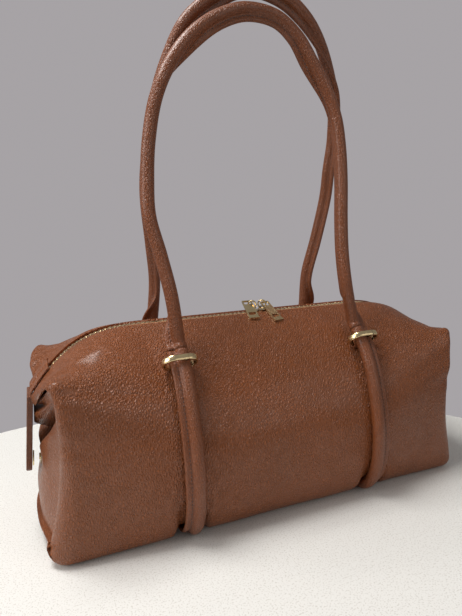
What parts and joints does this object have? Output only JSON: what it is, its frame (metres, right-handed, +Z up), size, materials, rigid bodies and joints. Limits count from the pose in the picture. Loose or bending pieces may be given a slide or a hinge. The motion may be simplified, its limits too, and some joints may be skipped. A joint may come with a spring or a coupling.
{
  "type": "baguette bag",
  "caption": "Long zipped shoulder bag in pebbled leather with folded ears at its ends and two rolled handles that pass through metal rings and run on under the base as straps.",
  "frame": {"origin": "on the standing surface, below the centre of the bag", "axes": "+Z up, +X along the bag and its zip, -Y the front, where the pulls lie"},
  "size_m": [0.3786, 0.1692, 0.418],
  "materials": {
    "pebbled_leather": "pebbled, semi-matte",
    "strap_leather": "pebbled, semi-matte",
    "lining_cloth": "matte",
    "board": "matte",
    "zip_tape": "woven",
    "pale_gold": "polished"
  },
  "bodies": {
    "body": {"base_board": "board", "base_panel": "pebbled_leather", "front_left_keeper": "strap_leather", "front_panel": "pebbled_leather", "front_right_keeper": "strap_leather", "left_end_lining": "lining_cloth", "left_end_panel": "pebbled_leather", "left_snap_stud": "pale_gold", "left_strap": "strap_leather", "left_zip_cover": "pebbled_leather", "left_zip_stop": "pale_gold", "lining": "lining_cloth", "rear_left_keeper": "strap_leather", "rear_panel": "pebbled_leather", "rear_right_keeper": "strap_leather", "right_end_lining": "lining_cloth", "right_end_panel": "pebbled_leather", "right_snap_stud": "pale_gold", "right_strap": "strap_leather", "right_zip_cover": "pebbled_leather", "right_zip_stop": "pale_gold", "zip_tape_front": "zip_tape", "zip_tape_rear": "zip_tape", "zip_teeth_front": "pale_gold", "zip_teeth_rear": "pale_gold"},
    "front_handle": {"front_handle": "strap_leather"},
    "front_left_ring": {"front_left_ring": "pale_gold"},
    "front_right_ring": {"front_right_ring": "pale_gold"},
    "rear_handle": {"rear_handle": "strap_leather"},
    "rear_left_ring": {"rear_left_ring": "pale_gold"},
    "rear_right_ring": {"rear_right_ring": "pale_gold"},
    "left_slider": {"left_slider": "pale_gold"},
    "left_slider_ring": {"left_slider_ring": "pale_gold"},
    "left_pull": {"left_pull": "pale_gold"},
    "left_tab": {"left_tab": "strap_leather", "left_snap_socket": "pale_gold"},
    "right_slider": {"right_slider": "pale_gold"},
    "right_slider_ring": {"right_slider_ring": "pale_gold"},
    "right_pull": {"right_pull": "pale_gold"},
    "right_tab": {"right_tab": "strap_leather", "right_snap_socket": "pale_gold"}
  },
  "joints": [
    {"name": "front_handle_fold", "type": "hinge", "parent": "body", "child": "front_handle", "pos_m": [0, -0.05016, 0.14279], "axis": [1, 0, 0], "range_deg": [0, 120]},
    {"name": "front_left_ring_tilt", "type": "hinge", "parent": "body", "child": "front_left_ring", "pos_m": [-0.0795, -0.04573, 0.12719], "axis": [1, 0, 0], "range_deg": [-12, 12]},
    {"name": "front_right_ring_tilt", "type": "hinge", "parent": "body", "child": "front_right_ring", "pos_m": [0.0795, -0.04573, 0.12719], "axis": [1, 0, 0], "range_deg": [-12, 12]},
    {"name": "rear_handle_fold", "type": "hinge", "parent": "body", "child": "rear_handle", "pos_m": [0, 0.05017, 0.14279], "axis": [-1, 0, 0], "range_deg": [0, 120]},
    {"name": "rear_left_ring_tilt", "type": "hinge", "parent": "body", "child": "rear_left_ring", "pos_m": [-0.0795, 0.04573, 0.12718], "axis": [1, 0, 0], "range_deg": [-12, 12]},
    {"name": "rear_right_ring_tilt", "type": "hinge", "parent": "body", "child": "rear_right_ring", "pos_m": [0.0795, 0.04573, 0.12718], "axis": [1, 0, 0], "range_deg": [-12, 12]},
    {"name": "left_slider_slide", "type": "slide", "parent": "body", "child": "left_slider", "axis": [-1, 0, 0], "range_m": [0, 0.0918]},
    {"name": "left_slider_ring_tilt", "type": "hinge", "parent": "left_slider", "child": "left_slider_ring", "pos_m": [0.0018, 0, 0.1555], "axis": [-0.7071, 0.7071, 0], "range_deg": [0, 15]},
    {"name": "left_pull_lift", "type": "hinge", "parent": "left_slider_ring", "child": "left_pull", "pos_m": [-0.00056, 0.00236, 0.16045], "axis": [-0.9945, 0.1045, 0], "range_deg": [0, 30]},
    {"name": "left_tab_lift", "type": "hinge", "parent": "body", "child": "left_tab", "pos_m": [-0.18373, 0, 0.10969], "axis": [0, 1, 0], "range_deg": [0, 100]},
    {"name": "right_slider_slide", "type": "slide", "parent": "body", "child": "right_slider", "axis": [1, 0, 0], "range_m": [0, 0.0788]},
    {"name": "right_slider_ring_tilt", "type": "hinge", "parent": "right_slider", "child": "right_slider_ring", "pos_m": [0.0112, 0, 0.1555], "axis": [-0.7071, 0.7071, 0], "range_deg": [0, 15]},
    {"name": "right_pull_lift", "type": "hinge", "parent": "right_slider_ring", "child": "right_pull", "pos_m": [0.0112, 0, 0.1591], "axis": [-0.7071, -0.7071, 0], "range_deg": [0, 90]},
    {"name": "right_tab_lift", "type": "hinge", "parent": "body", "child": "right_tab", "pos_m": [0.18373, 0, 0.10969], "axis": [0, -1, 0], "range_deg": [0, 100]}
  ]
}
